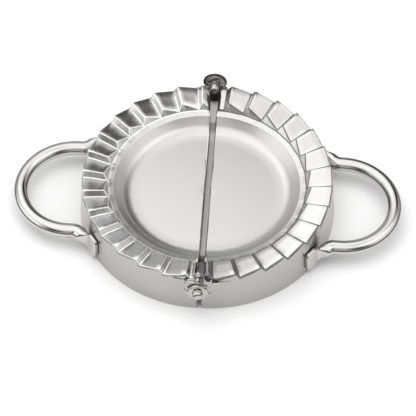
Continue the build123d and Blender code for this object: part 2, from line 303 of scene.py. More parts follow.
# ------------ finishes
@dataclass(frozen=True)
class SteelFinish:
    """Stainless steel with one way of polishing.

    Attributes:
        name: plain name of the material.
        colour: sRGB hex of the metal's reflection, straight on.
        roughness: of the polished surface.
        swing: how much the roughness changes along the polishing lines.
        grain: which way the polishing lines run.
        line_depth, line_width, line_length: of the polishing lines, mm.
        rim_roughness: of the pleated rim, where it differs.
        smudge: how much large soft patches change the roughness.
        smudge_size: width of those patches, mm.
        rim_start, rim_blend: radius where the rim's roughness begins, and over what width, mm.
    """

    name: str
    colour: str
    roughness: float
    swing: float
    grain: Grain = Grain.NONE
    line_depth: float = 0.0001
    rim_roughness: float | None = None
    line_width: float = 0.3
    line_length: float = 14.0
    smudge: float = 0.03
    smudge_size: float = 22.0
    rim_start: float = 37.6
    rim_blend: float = 0.8

    def lines_at(self, tree: Tree, place: Socket) -> Term:
        """Coordinates, in polishing lines, of a point on the piece.

        Args:
            tree: the material's node tree.
            place: the point's object coordinates.

        Returns:
            Vector, one unit to a line's width or length.
        """
        across, along = 1 / (self.line_width * MM), 1 / (self.line_length * MM)
        if self.grain is not Grain.ROUND_RING:
            scale = (across, along if self.grain is Grain.ALONG_HINGE else across, across)
            return term(tree, "ShaderNodeMapping", {"Vector": place, "Scale": scale})
        x, y, z = parts_of(tree, place)
        y = y - RING_Y * MM
        # The lines run on round the ring, with a seam hidden at the far left.
        way_round = y.math("ARCTAN2", x) * (RIM_RADIUS * MM * along)
        inputs = {0: way_round, 1: length(x, y) * across, 2: z * across}
        return term(tree, "ShaderNodeCombineXYZ", inputs)

    def rim_share(self, tree: Tree, place: Socket) -> Term:
        """Where the pleated rim is.

        Args:
            tree: the material's node tree.
            place: a point's object coordinates.

        Returns:
            0 on the dish, 1 on the rim.
        """
        x, y, _ = parts_of(tree, place)
        radius = length(x.math("ABSOLUTE") - HALF_GAP * MM, y - RING_Y * MM)
        return (radius - self.rim_start * MM).math("DIVIDE", self.rim_blend * MM, clamp=True)

    def material(self) -> Material:
        """Makes the material.

        Returns:
            The material, with roughness and bump from its polishing lines.
        """
        made = bpy.data.materials.new(self.name)
        tree = cleared(made)
        place = add_node(tree, "ShaderNodeTexCoord").outputs["Object"]
        noise = {"Vector": self.lines_at(tree, place), "Scale": 1.0, "Detail": 3.0, "Roughness": 0.6}
        lines = term(tree, "ShaderNodeTexNoise", noise)
        noise = {"Vector": place, "Scale": 1 / (self.smudge_size * MM), "Detail": 2.0}
        patches = term(tree, "ShaderNodeTexNoise", noise)
        roughness = (lines - 0.5) * (2 * self.swing) + (patches - 0.5) * (2 * self.smudge)
        roughness = roughness + self.roughness
        if self.rim_roughness is not None:
            roughness = roughness + self.rim_share(tree, place) * (self.rim_roughness - self.roughness)
        relief = {"Strength": 1.0, "Distance": self.line_depth * MM, "Height": lines}
        look = {"Base Color": linear(self.colour), "Metallic": 1.0, "Roughness": roughness}
        look["Normal"] = term(tree, "ShaderNodeBump", relief)
        steel = term(tree, "ShaderNodeBsdfPrincipled", look)
        add_node(tree, "ShaderNodeOutputMaterial", {"Surface": steel})
        return made


# Pressed and brushed sheet: soft blurred reflections in the dish, clearer ones on the pleats.
PLATE_STEEL = SteelFinish(
    "pressed_stainless_sheet", "#D2D1CF", 0.34, 0.04, Grain.ALONG_HINGE, 0.0006, rim_roughness=0.28
)
# The same sheet at its folds and edges, in two copies: on the left half a near-white painted highlight,
# light lines that take in light from all round; on the right half a dark painted shade, as grey lines.
FOLD_PAINTED_HIGHLIGHT = SteelFinish("fold_steel_painted_highlight", "#FFFEFB", 0.50, 0.02)
FOLD_PAINTED_SHADE = SteelFinish("fold_steel_painted_shade", "#7C7A77", 0.45, 0.02)
# Sheet of the strip under the gap between the dishes, darkened: painted shade for the shade it lies in.
GAP_STEEL_PAINTED_SHADE = SteelFinish("gap_steel_painted_shade", "#A3A19E", 0.30, 0.02)
# Strip brushed along its length: reflections spread upwards and downwards.
WALL_STEEL = SteelFinish("brushed_stainless_strip", "#BAB8B5", 0.25, 0.03, Grain.ROUND_RING, 0.0002)
# Polished bar: clear reflections with only a faint haze.
ROD_STEEL = SteelFinish("polished_stainless_bar", "#D0CFCC", 0.10, 0.02)
# Turned small parts: clear, a little darker and warmer.
TURNED_STEEL = SteelFinish("turned_stainless_steel", "#BDBAB5", 0.12, 0.03)
# The same turned steel, darker: painted shade on the far hinge's disc.
TURNED_STEEL_PAINTED_SHADE = SteelFinish("turned_steel_painted_shade", "#6B6764", 0.16, 0.03)


# ------------ die plates
@dataclass
class DiePlate:
    """Half-round dish with its pleated rim, one stamping. Sizes in millimetres and degrees."""

    half: Half
    lead_angle: float
    other_lead_angle: float
    pleat_length: float = 10.0
    ledge_width: float = 0.9
    floor_radius: float = 30.6
    shoulder_radius: float = 35.0
    dish_depth: float = 5.2
    ledge_rise: float = 0.45
    crown: float = 0.6
    floor_bend: float = 6.5
    ledge_bend: float = 0.7
    lip_depth: float = 3.2
    pleats: int = 15
    fall_angle: float = 2.0
    pleat_depth: float = 2.3
    crest_slope: float = 0.17
    low_slope: float = 0.19
    riser_lean: float = 0.55
    riser_foot: float = 0.5
    end_gap: float = 1.9
    end_distance: float = 46.9
    fold_round: float = 0.28
    fold_angle: float = 25.0
    fold_strips: int = 3
    steps: int = 4
    crown_rows: int = 10
    bend_steps: int = 12
    pleat_rows: tuple[float, ...] = (0.0, 0.3, 0.65, 1.0)

    @property
    def riser_radius(self) -> float:
        """Radius of the foot of the pleats' risers."""
        return RIM_RADIUS - self.pleat_length

    @property
    def dish_edge(self) -> float:
        """Radius within which the plate reaches right to its straight edge."""
        return self.riser_radius - self.ledge_width

    @property
    def ledge_height(self) -> float:
        """Height of the ledge between the pleats and the dish."""
        return CREST_HEIGHT - self.pleat_depth - self.low_slope * self.pleat_length - self.riser_foot

    @property
    def pitch_angle(self) -> float:
        """Angle from one crest to the next, which lets the two rims mesh when shut."""
        return (180 - self.lead_angle - self.other_lead_angle - self.fall_angle) / (self.pleats - 1)

    def profile(self) -> Object:
        """Line across the plate, from the middle to the rim's outer edge.

        Returns:
            Mesh line of radius and height, with the share of the way out over
            the pleats and two marks: on a pleat, and on a straight run.
        """
        floor_height = self.ledge_height - self.dish_depth
        corners = [
            (0.0, floor_height),
            (self.floor_radius, floor_height),
            (self.shoulder_radius, self.ledge_height - self.ledge_rise),
            (self.riser_radius, self.ledge_height),
        ]
        line = rounded(corners, (self.floor_bend, self.ledge_bend), self.bend_steps)
        # The floor is very slightly crowned, as a pressed sheet springs back.
        shares = [i / self.crown_rows for i in range(self.crown_rows)]
        floor = [(line[1][0] * s, floor_height + self.crown * (1 - s**2)) for s in shares]
        rows = [(r, z, 0.0, 0.0, 0.0) for r, z in floor + line[1:-1]]
        rows.append((*line[-1], 0.0, 0.0, 1.0))
        rows += [(0.0, 0.0, share, 1.0, 1.0) for share in self.pleat_rows]
        mesh = bpy.data.meshes.new("profile")
        edges = [(i, i + 1) for i in range(len(rows) - 1)]
        mesh.from_pydata([(r * MM, 0, z * MM) for r, z, *_ in rows], edges, [])
        for column, name in enumerate(("share", "on_pleat", "straight"), start=2):
            marks = mesh.attributes.new(name, "FLOAT", "POINT")
            marks.data.foreach_set("value", [row[column] for row in rows])
        return new_object("profile", mesh)

    def tree(self, material: Material) -> bpy.types.NodeTree:
        """Geometry Nodes that sweep the profile through half a circle and pleat its rim.

        Args:
            material: the plate's material.

        Returns:
            Node group with a named input for each size.
        """
        tree = bpy.data.node_groups.new("pleated_plate", "GeometryNodeTree")
        tree.interface.new_socket("Profile", in_out="INPUT", socket_type="NodeSocketGeometry")
        tree.interface.new_socket("Plate", in_out="OUTPUT", socket_type="NodeSocketGeometry")
        for name in self.inputs():
            tree.interface.new_socket(name, in_out="INPUT", socket_type="NodeSocketFloat")
        given = add_node(tree, "NodeGroupInput").outputs
        size = {name: Term(tree, given[name]) for name in self.inputs()}
        rows = term(tree, "GeometryNodeAttributeDomainSize", {0: given["Profile"]})
        columns = (size["Pleats"] * 2 + 1) * size["Steps"] + 1
        grid = term(tree, "GeometryNodeMeshGrid", {"Vertices X": rows, "Vertices Y": columns})
        index = term(tree, "GeometryNodeInputIndex")
        row = (index / columns).math("FLOOR")
        column = index - row * columns
        knot = (column / size["Steps"]).math("FLOOR").math("MINIMUM", size["Pleats"] * 2)
        share_on = column / size["Steps"] - knot
        position = term(tree, "GeometryNodeInputPosition")

        def at_row(source: Term, kind: str) -> Term:
            """Reads a field of the profile, of the kind named, at this row."""
            inputs = {"Geometry": given["Profile"], "Value": source, "Index": row}
            return term(tree, "GeometryNodeSampleIndex", inputs, data_type=kind)

        def mark(name: str) -> Term:
            """Reads a named mark of the profile at this row."""
            named = term(tree, "GeometryNodeInputNamedAttribute", {"Name": name}, data_type="FLOAT")
            return at_row(named, "FLOAT")

        plain_radius, _, plain_height = parts_of(tree, at_row(position, "FLOAT_VECTOR"))
        share, on_pleat, straight = mark("share"), mark("on_pleat"), mark("straight")

        def fold_line(number: Term) -> tuple[Term, Term]:
            """Place of a numbered fold line round the rim.

            Args:
                number: 0 at one straight edge, counted up to the other one.

            Returns:
                Its angle in degrees, and its depth from 0 on a crest to 1 in a low.
            """
            first = number.math("LESS_THAN", 0.5)
            last = number.math("GREATER_THAN", size["Pleats"] * 2 + 0.5)
            low = (number - 1).math("FLOORED_MODULO", 2.0)
            pleat = ((number - 1) / 2).math("FLOOR")
            angle = size["Lead angle"] + pleat * size["Pitch angle"] + low * size["Fall angle"] - 90
            angle = angle.mixed(-90.0, first).mixed(90.0, last)
            return angle, low.math("MAXIMUM", first).math("MAXIMUM", last)

        def place(angle: Term, depth: Term) -> list[Term]:
            """Point of this row on a radial line.

            Args:
                angle: the line's angle in degrees.
                depth: 0 on a crest, 1 in a low.

            Returns:
                The point's x, y and z.
            """
            slope = size["Crest slope"].mixed(size["Low slope"], depth)
            outer_height = size["Crest height"] - depth * size["Pleat depth"]
            foot_radius = size["Outer radius"] - size["Pleat length"]
            fall = outer_height - slope * size["Pleat length"] - size["Ledge height"]
            rise = fall / (slope * size["Riser lean"] * -1 + 1)
            riser_edge = foot_radius + rise * size["Riser lean"]
            pleat_radius = riser_edge.mixed(size["Outer radius"], share)
            pleat_height = (size["Ledge height"] + rise).mixed(outer_height, share)
            radius = plain_radius.mixed(pleat_radius, on_pleat)
            height = plain_height.mixed(pleat_height, on_pleat)
            turn = angle.math("RADIANS")
            return [radius * turn.math("COSINE"), radius * turn.math("SINE"), height]

        angle_a, depth_a = fold_line(knot)
        angle_b, depth_b = fold_line(knot + 1)
        chord = [a.mixed(b, share_on) for a, b in zip(place(angle_a, depth_a), place(angle_b, depth_b))]
        turn = angle_a.mixed(angle_b, share_on).math("RADIANS")
        circle = [plain_radius * turn.math("COSINE"), plain_radius * turn.math("SINE"), plain_height]
        x, y, z = [a.mixed(b, straight) for a, b in zip(circle, chord)]
        # The rim's ends are squared off inside the lugs.
        y = y.math("MINIMUM", size["End distance"]).math("MAXIMUM", size["End distance"] * -1)
        inputs = {0: x + size["Half gap"], 1: y + size["Ring middle"], 2: z}
        spot = term(tree, "ShaderNodeCombineXYZ", inputs)
        shaped = term(tree, "GeometryNodeSetPosition", {0: grid, "Position": spot})
        joined = term(tree, "GeometryNodeMergeByDistance", {0: shaped, "Distance": MERGE * MM})
        # A lip is turned down along the dish's straight edge.
        x, y, _ = parts_of(tree, position)
        at_edge = (x - size["Half gap"]).math("LESS_THAN", 2 * MERGE * MM)
        on_dish = (y - size["Ring middle"]).math("ABSOLUTE").math("LESS_THAN", size["Dish radius"])
        at_border = term(tree, "GeometryNodeInputMeshEdgeNeighbors").math("LESS_THAN", 1.5)
        inputs = {
            "Mesh": joined,
            "Selection": at_edge * on_dish * at_border,
            "Offset": term(tree, "ShaderNodeCombineXYZ", {2: -1.0}),
            "Offset Scale": size["Lip depth"],
        }
        lip = term(tree, "GeometryNodeExtrudeMesh", inputs, mode="EDGES")
        solid = term(tree, "GeometryNodeRealizeInstances", {0: lip})
        dressed = term(tree, "GeometryNodeSetMaterial", {0: solid, "Material": material})
        add_node(tree, "NodeGroupOutput", {0: dressed})
        return tree

    def inputs(self) -> dict[str, float]:
        """Sizes that the node group takes, by their sockets' names.

        Returns:
            Lengths in metres, angles in degrees, ratios and counts.
        """
        lengths = {
            "Outer radius": RIM_RADIUS,
            "Pleat length": self.pleat_length,
            "Crest height": CREST_HEIGHT,
            "Ledge height": self.ledge_height,
            "Pleat depth": self.pleat_depth,
            "Half gap": HALF_GAP,
            "Dish radius": self.dish_edge,
            "End distance": self.end_distance,
            "Ring middle": RING_Y,
            "Lip depth": self.lip_depth,
        }
        return {name: value * MM for name, value in lengths.items()} | {
            "Crest slope": self.crest_slope,
            "Low slope": self.low_slope,
            "Riser lean": self.riser_lean,
            "Lead angle": self.lead_angle,
            "Fall angle": self.fall_angle,
            "Pitch angle": self.pitch_angle,
            "Pleats": float(self.pleats),
            "Steps": float(self.steps),
        }

    def set_back_ends(self, mesh: bpy.types.Mesh) -> None:
        """Cuts the ends of the rim and ledge back from the hinge plane.

        Args:
            mesh: the plate's sheet before it gets its thickness.
        """
        shape = bmesh.new()
        shape.from_mesh(mesh)
        axis = Vector((HALF_GAP * MM, RING_Y * MM, 0))

        def past_dish(face: bmesh.types.BMFace) -> bool:
            """Whether a face lies on the ledge or rim."""
            return (face.calc_center_median() - axis).xy.length > self.dish_edge * MM

        outer = [face for face in shape.faces if past_dish(face)]
        parts = dict.fromkeys(part for face in outer for part in (*face.edges, *face.verts))
        bmesh.ops.bisect_plane(
            shape,
            geom=[*outer, *parts],
            dist=0.2 * MERGE * MM,
            plane_co=(self.end_gap * MM, 0, 0),
            plane_no=(1, 0, 0),
        )
        near = [face for face in shape.faces if face.calc_center_median().x < self.end_gap * MM]
        bmesh.ops.delete(shape, geom=[face for face in near if past_dish(face)], context="FACES")
        shape.to_mesh(mesh)
        shape.free()

    def round_folds(self, obj: Object) -> None:
        """Rounds every fold and edge, and keeps wide faces flat to the eye.

        Args:
            obj: the plate, whose second material goes on the roundings.
        """
        bevel = obj.modifiers.new("folds", "BEVEL")
        bevel.width = self.fold_round * MM
        bevel.segments = self.fold_strips
        bevel.limit_method = "ANGLE"
        bevel.angle_limit = math.radians(self.fold_angle)
        # The short edges where the rim's ends are cut would hold every rounding back.
        bevel.use_clamp_overlap = False
        # The roundings take the fold material: painted highlight on the left half, painted shade on the
        # right.
        bevel.material = 1
        obj.modifiers.new("flats", "WEIGHTED_NORMAL").weight = FLAT_WEIGHT

    def build(self, material: Material, fold: Material) -> Object:
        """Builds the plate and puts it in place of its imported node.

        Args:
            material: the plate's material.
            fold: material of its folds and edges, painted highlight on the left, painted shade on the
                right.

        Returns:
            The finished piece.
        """
        obj = self.profile()
        nodes = obj.modifiers.new("pleats", "NODES")
        nodes.node_group = self.tree(material)
        values = self.inputs()
        for item in nodes.node_group.interface.items_tree:
            if item.item_type == "SOCKET" and item.in_out == "INPUT" and item.name in values:
                nodes[item.identifier] = values[item.name]
        obj = applied(obj, "sheet")
        self.set_back_ends(obj.data)
        obj.data.materials.clear()
        for finish in (material, fold):
            obj.data.materials.append(finish)
        sheet = obj.modifiers.new("sheet", "SOLIDIFY")
        sheet.thickness = SHEET * MM
        sheet.offset = -1.0
        sheet.use_even_offset = True
        self.round_folds(obj)
        piece = applied(obj, f"{self.half.side}_pleated_plate")
        piece.data.transform(self.half.placing)
        piece.data.shade_smooth()
        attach(piece, self.half.value)
        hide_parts(f"{self.half.side}_die_plate")
        return piece


# ------------ handles
@dataclass
class Handle:
    """Bent rod with both ends pressed flat and spread to paddles. Sizes in millimetres and degrees."""

    half: Half
    turn: float
    rod_radius: float = 2.8
    rod_height: float = 7.1
    loop_radius: float = 20.6
    arm_length: float = 1.6
    paddle_angle: float = 37.0
    arm_bend: float = 4.5
    rod_stand: float = 1.4
    flatten_length: float = 4.2
    paddle_lap: float = 1.2
    paddle_length: float = 6.5
    paddle_thickness: float = 1.5
    paddle_width: float = 10.0
    paddle_drop: float = 1.0
    spread: Point = (2.4, 2.6)
    drop_start: float = 2.8
    foot_share: float = 0.35
    foot_round: float = 3.0
    top_round: float = 1.5
    tip_round: float = 0.3
    squareness: float = 0.72
    weld_gap: float = 0.1
    wall_flare: float = 1.5
    sides: int = 40
    rows: tuple[int, int, int, int] = (28, 12, 22, 12)
    tip_length: float = 3.0

    @property
    def paddle_end(self) -> float:
        """Distance from the end of the bend to the paddle's tip."""
        return self.flatten_length - self.paddle_lap + self.paddle_length

    def half_line(self) -> list[tuple[np.ndarray, np.ndarray]]:
        """Rod's axis from the middle of the loop to the end of the bend.

        Returns:
            Points and headings along one half of the rod.
        """
        angle = math.radians(self.paddle_angle)
        beside = RIM_RADIUS + self.wall_flare * (1 - self.rod_height / CREST_HEIGHT)
        beside += self.weld_gap + self.paddle_thickness / 2
        middle = self.loop_radius + self.arm_bend
        arm_end = (beside + self.rod_stand + self.arm_bend - middle * math.sin(angle)) / math.cos(angle)
        loop_x = arm_end + self.arm_length
        loop = arc((loop_x, 0), self.loop_radius, 0, 90, self.rows[0])
        bend = arc((arm_end, middle), self.arm_bend, -90, self.paddle_angle - 180, self.rows[1])
        stations = [((x, y, 0), (-y, x - loop_x, 0), self.loop_radius) for x, y in loop]
        stations += [((x, y, 0), (y - middle, arm_end - x, 0), self.arm_bend) for x, y in bend]
        return [(np.array(point), np.array(heading) / reach) for point, heading, reach in stations]

    def paddle_reach(self, s: float, ease: float) -> tuple[float, float, float]:
        """Size of the section at a place beyond the bend.

        Args:
            s: distance from the end of the bend.
            ease: how flat the section is, 0 to 1.

        Returns:
            Reach above and below the axis, and half the thickness.
        """
        top, foot = self.paddle_width / 2 - self.paddle_drop, self.paddle_width / 2 + self.paddle_drop
        high = self.rod_radius + (top - self.rod_radius) * eased((s - self.spread[0]) / self.spread[1])
        drop = max(0.0, min(1.0, (s - self.drop_start) / self.foot_round))
        share = self.foot_share + (1 - self.foot_share) * drop
        low = self.rod_radius + (foot - self.rod_radius) * math.sqrt(1 - (1 - drop) ** 2) * share
        thick = self.rod_radius + (self.paddle_thickness / 2 - self.rod_radius) * ease
        left = self.paddle_end - s
        edge = corner_loss(self.tip_round, left)
        high -= corner_loss(self.top_round, left) + edge
        low -= corner_loss(self.foot_round, left) + edge
        return high, low, thick - edge

    def sections(self) -> list[np.ndarray]:
        """Closed outlines of one half of the handle, from the loop's middle to the paddle's tip.

        Returns:
            One ring of points for each station.
        """
        around = np.linspace(0, 2 * math.pi, self.sides, endpoint=False)
        cosine, sine = np.cos(around), np.sin(around)
        up = np.array([0.0, 0.0, 1.0])
        rings = []
        for point, heading in self.half_line():
            side = np.cross(heading, up)
            rings.append(point + self.rod_radius * (np.outer(cosine, side) + np.outer(sine, up)))
        start = point
        angle = math.radians(self.paddle_angle)
        along = np.array([-math.sin(angle), math.cos(angle), 0.0])
        outward = np.array([math.cos(angle), math.sin(angle), 0.0])
        lean = math.atan2(self.wall_flare, CREST_HEIGHT)
        tip = self.paddle_end - self.tip_length
        swing = np.sin(np.linspace(0, math.pi / 2, self.rows[3]))
        flat_part = np.linspace(0, tip, self.rows[2])[1:]
        for s in [*flat_part, *(self.paddle_end - self.tip_length * (1 - swing))[1:]]:
            ease = eased(s / self.flatten_length)
            normal = outward * math.cos(lean * ease) + up * math.sin(lean * ease)
            middle = start + along * s - outward * self.rod_stand * ease
            high, low, thick = self.paddle_reach(s, ease)
            power = 1.0 - self.squareness * ease
            across = np.sign(cosine) * np.abs(cosine) ** power * thick
            tall = (high + low) / 2 * np.sign(sine) * np.abs(sine) ** power + (high - low) / 2
            rings.append(middle + np.outer(across, normal) + np.outer(tall, np.cross(normal, along)))
        return rings

    def build(self, material: Material) -> Object:
        """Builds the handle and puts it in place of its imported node.

        Args:
            material: the rod's material.

        Returns:
            The finished piece.
        """
        one = self.sections()
        rings = [ring * np.array([1, -1, 1]) for ring in one[:0:-1]] + one
        count = self.sides
        faces = []
        for i in range(len(rings) - 1):
            for j in range(count):
                a, b = i * count + j, i * count + (j + 1) % count
                faces.append((a, b, b + count, a + count))
        last = (len(rings) - 1) * count
        faces += [tuple(range(count)), tuple(last + j for j in reversed(range(count)))]
        mesh = bpy.data.meshes.new(f"{self.half.side}_rod_handle")
        mesh.from_pydata([tuple(p) for p in np.concatenate(rings) * MM], [], faces)
        shape = bmesh.new()
        shape.from_mesh(mesh)
        bmesh.ops.recalc_face_normals(shape, faces=shape.faces)
        shape.to_mesh(mesh)
        shape.free()
        lifted = Matrix.Translation((HALF_GAP * MM, RING_Y * MM, self.rod_height * MM))
        turned = Matrix.Rotation(math.radians(self.turn), 4, "Z")
        mesh.transform(self.half.placing @ lifted @ turned)
        mesh.shade_smooth()
        mesh.materials.append(material)
        piece = new_object(mesh.name, mesh)
        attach(piece, self.half.value)
        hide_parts(f"{self.half.side}_handle")
        return piece


# ------------ cutter walls
@dataclass
class CutterWall:
    """Leaning wall of one half with its hinge lugs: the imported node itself."""

    half: Half

    def build(self, material: Material) -> Object:
        """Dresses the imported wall.

        Args:
            material: the wall's material.

        Returns:
            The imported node's object.
        """
        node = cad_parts[f"{self.half.side}_cutter_wall"]
        node.data.materials.clear()
        node.data.materials.append(material)
        return node


# ------------ gap strip
@dataclass
class GapStrip:
    """Thin strip under the gap between the dishes, on the left half: a sheet put where the gap shows
    only shade, standing in for that shade. Sizes in millimetres.
    """

    dish_radius: float = 35.0
    floor_radius: float = 30.6
    floor_height: float = 9.1
    ledge_height: float = 13.85
    depth: float = 3.45
    half_width: float = 1.0
    end_half_width: float = 1.65
    widening: float = 1.5
    end_distance: float = 44.0
    end_rise: float = 2.05
    thickness: float = 0.4
    bend: float = 6.5
    end_bend: float = 2.0

    def line(self) -> list[Point]:
        """Side view of the strip's top.

        Returns:
            Points from the near end to the far one.
        """
        right = [
            (self.floor_radius, self.floor_height - self.depth),
            (self.dish_radius, self.ledge_height - self.depth),
            (self.end_distance, self.ledge_height - self.depth + self.end_rise),
        ]
        left = [(-y, z) for y, z in reversed(right)]
        return rounded(left + right, (self.end_bend, self.bend, self.bend, self.end_bend))

    def build(self, material: Material) -> Object:
        """Builds the strip.

        Args:
            material: the strip's darkened material, painted shade.

        Returns:
            The finished piece.
        """
        points = []
        for y, z in self.line():
            beyond = max(0.0, min(1.0, (abs(y) - self.dish_radius) / self.widening))
            reach = self.half_width + (self.end_half_width - self.half_width) * beyond
            points += [(x * MM, (RING_Y + y) * MM, z * MM) for x in (-reach, reach)]
        faces = [(i, i + 1, i + 3, i + 2) for i in range(0, len(points) - 2, 2)]
        mesh = bpy.data.meshes.new("strip")
        mesh.from_pydata(points, [], faces)
        mesh.materials.append(material)
        obj = new_object("strip", mesh)
        sheet = obj.modifiers.new("sheet", "SOLIDIFY")
        sheet.thickness = self.thickness * MM
        sheet.offset = -1.0
        piece = applied(obj, "left_gap_strip")
        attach(piece, Half.LEFT.value)
        return piece


# ------------ hinge hardware
@dataclass
class TurnedPart:
    """Part turned about the hinge line.

    Attributes:
        name: name of the finished piece.
        node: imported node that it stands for.
        end: -1 at the near end, 1 at the far one.
        outline: corners of the closed outline, as distance from the ring's axis
            along the pin, and radius.
        radii: rounding of each corner.
        sides: flats round the part.
        bend_steps: strips across a rounding.
    """

    name: str
    node: str
    end: int
    outline: tuple[Point, ...]
    radii: tuple[float, ...]
    sides: int = 64
    bend_steps: int = 4

    def build(self, material: Material) -> Object:
        """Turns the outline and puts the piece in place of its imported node.

        Args:
            material: the part's material.

        Returns:
            The finished piece.
        """
        corners = list(self.outline)
        solid = corners[0][1] == 0.0 and corners[-1][1] == 0.0
        if solid:
            line = rounded(corners, self.radii[1:-1], self.bend_steps)
        else:
            line = rounded([corners[-1], *corners, corners[0]], self.radii, self.bend_steps)[1:-1]
        shape = bmesh.new()
        rings = []
        for distance, radius in line:
            y = RING_Y + self.end * distance
            if radius == 0.0:
                rings.append([shape.verts.new((0, y * MM, PIN_HEIGHT * MM))] * self.sides)
                continue
            circle = arc((0, PIN_HEIGHT), radius, 0, 360, self.sides)[:-1]
            rings.append([shape.verts.new((x * MM, y * MM, z * MM)) for x, z in circle])
        for one, two in zip(rings, rings[1:] if solid else [*rings[1:], rings[0]]):
            for i in range(self.sides):
                j = (i + 1) % self.sides
                face = list(dict.fromkeys([one[i], one[j], two[j], two[i]]))
                if len(face) > 2:
                    shape.faces.new(face)
        bmesh.ops.recalc_face_normals(shape, faces=shape.faces)
        mesh = bpy.data.meshes.new(self.name)
        shape.to_mesh(mesh)
        shape.free()
        mesh.materials.append(material)
        obj = new_object("turned", mesh)
        obj.modifiers.new("flats", "WEIGHTED_NORMAL").weight = FLAT_WEIGHT
        piece = applied(obj, self.name)
        piece.data.shade_smooth()
        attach(piece, Half.LEFT.value)
        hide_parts(self.node)
        return piece


@dataclass
class HingeHardware:
    """Pins of both hinges and what is on them. Sizes in millimetres."""

    pin_radius: float = 1.4
    bore_radius: float = 1.46
    lug_distance: float = 47.1
    tail_length: float = 1.3
    stack_start: float = 48.82
    stack_gap: float = 0.03
    sleeve_length: float = 3.75
    sleeve_wall: float = 0.45
    flare_length: float = 1.5
    foot_rim: float = 2.0
    near_washer: Point = (0.5, 4.2)
    cap_collar: Point = (0.75, 0.95)
    cap_disc: Point = (0.9, 4.0)
    cap_nub: Point = (2.1, 2.0)
    far_washer: Point = (0.4, 4.05)
    far_disc: Point = (0.6, 4.8)
    inner_head: Point = (2.6, 1.7)
    outer_head: Point = (1.0, 2.3)
    head_gap: float = 0.12

    def ring(self, start: float, size: Point) -> tuple[Point, ...]:
        """Outline of a flat ring on a pin, from its inner face, thickness and radius."""
        bore, end = self.bore_radius, start + size[0]
        return ((start, bore), (start, size[1]), (end, size[1]), (end, bore))

    def near_parts(self) -> list[TurnedPart]:
        """Draws the near hinge.

        Returns:
            Its sleeve, washer, cap and pin.
        """
        bore = self.bore_radius
        start = self.stack_start
        end = start + self.sleeve_length
        tube, flare = bore + self.sleeve_wall, end - self.flare_length
        washer = end + self.stack_gap
        cap = washer + self.near_washer[0] + self.stack_gap
        disc = cap + self.cap_collar[0]
        nub = disc + self.cap_disc[0]
        tip = nub + self.cap_nub[0]
        collar, wide, narrow = bore + self.cap_collar[1], self.cap_disc[1], self.cap_nub[1]
        sleeve = ((start, bore), (start, tube), (flare, tube), (end, bore + self.foot_rim), (end, bore))
        domed_cap = (
            (cap, bore), (cap, collar), (disc, collar), (disc, wide), (nub, wide),
            (nub, narrow), (tip, narrow), (tip, 0.0), (nub, 0.0), (nub, bore),
        )
        tail, pin_end = self.lug_distance - self.tail_length, nub - self.stack_gap
        pin = ((tail, 0.0), (tail, self.pin_radius), (pin_end, self.pin_radius), (pin_end, 0.0))
        flat = self.ring(washer, self.near_washer)
        sleeve_bends = (0.0, 0.15, 1.6, 0.1, 0.0)
        cap_bends = (0.0, 0.1, 0.15, 0.25, 0.35, 0.3, 1.0, 0.0, 0.0, 0.0)
        return [
            TurnedPart("near_flared_sleeve", "near_spacer_sleeve", -1, sleeve, sleeve_bends),
            TurnedPart("near_thin_washer", "near_washer", -1, flat, (0.0, 0.15, 0.15, 0.0)),
            TurnedPart("near_domed_cap", "near_cap", -1, domed_cap, cap_bends),
            TurnedPart("near_pin", "near_hinge_pin", -1, pin, (0.0, 0.3, 0.25, 0.0), sides=40),
        ]

    def far_parts(self) -> list[TurnedPart]:
        """Draws the far hinge.

        Returns:
            Its washer, disc and headed pin.
        """
        washer = self.stack_start
        disc = washer + self.far_washer[0] + self.stack_gap
        head = disc + self.far_disc[0] + self.stack_gap
        face = self.lug_distance - self.head_gap
        inner, outer = face - self.inner_head[0], head + self.outer_head[0]
        wide, shank, end = self.inner_head[1], self.pin_radius, self.outer_head[1]
        pin = (
            (inner, 0.0), (inner, wide), (face, wide), (face, shank),
            (head, shank), (head, end), (outer, end), (outer, 0.0),
        )
        pin_bends = (0.0, 0.2, 0.15, 0.0, 0.0, 0.1, 0.5, 0.0)
        thin, thick = self.ring(washer, self.far_washer), self.ring(disc, self.far_disc)
        return [
            TurnedPart("far_thin_washer", "far_washer", 1, thin, (0.0, 0.12, 0.12, 0.0)),
            TurnedPart("far_disc", "far_cap_disc", 1, thick, (0.0, 0.15, 0.25, 0.0)),
            TurnedPart("far_headed_pin", "far_hinge_pin", 1, pin, pin_bends, sides=48),
        ]

    def build(self, bright: Material, dark: Material) -> None:
        """Builds every turned part.

        Args:
            bright: material of the turned parts.
            dark: darker copy of the turned steel for the far hinge's disc, painted shade.
        """
        for part in self.near_parts() + self.far_parts():
            # The far disc takes the darker copy of the turned steel: painted shade.
            piece = part.build(dark if part.node == "far_cap_disc" else bright)
            LOG.info("%s stands for %s: %d faces", piece.name, part.node, len(piece.data.polygons))


# ------------ studio
@dataclass(frozen=True)
class Card:
    """Soft patch of the studio's surroundings, lighter or darker than the rest.

    Attributes:
        azimuth: degrees from straight behind the press, to the right.
        elevation: degrees above the table.
        spread: degrees from the middle to the edge of the patch.
        core: degrees over which it has its full strength.
        gain: what its middle adds to the surroundings.
        tint: sRGB hex of its light.
    """

    azimuth: float
    elevation: float
    spread: float
    core: float
    gain: float
    tint: str = "#FFFFFF"

    @property
    def direction(self) -> tuple[float, float, float]:
        """Unit direction towards the card."""
        a, e = math.radians(self.azimuth), math.radians(self.elevation)
        return (math.sin(a) * math.cos(e), math.cos(a) * math.cos(e), math.sin(e))


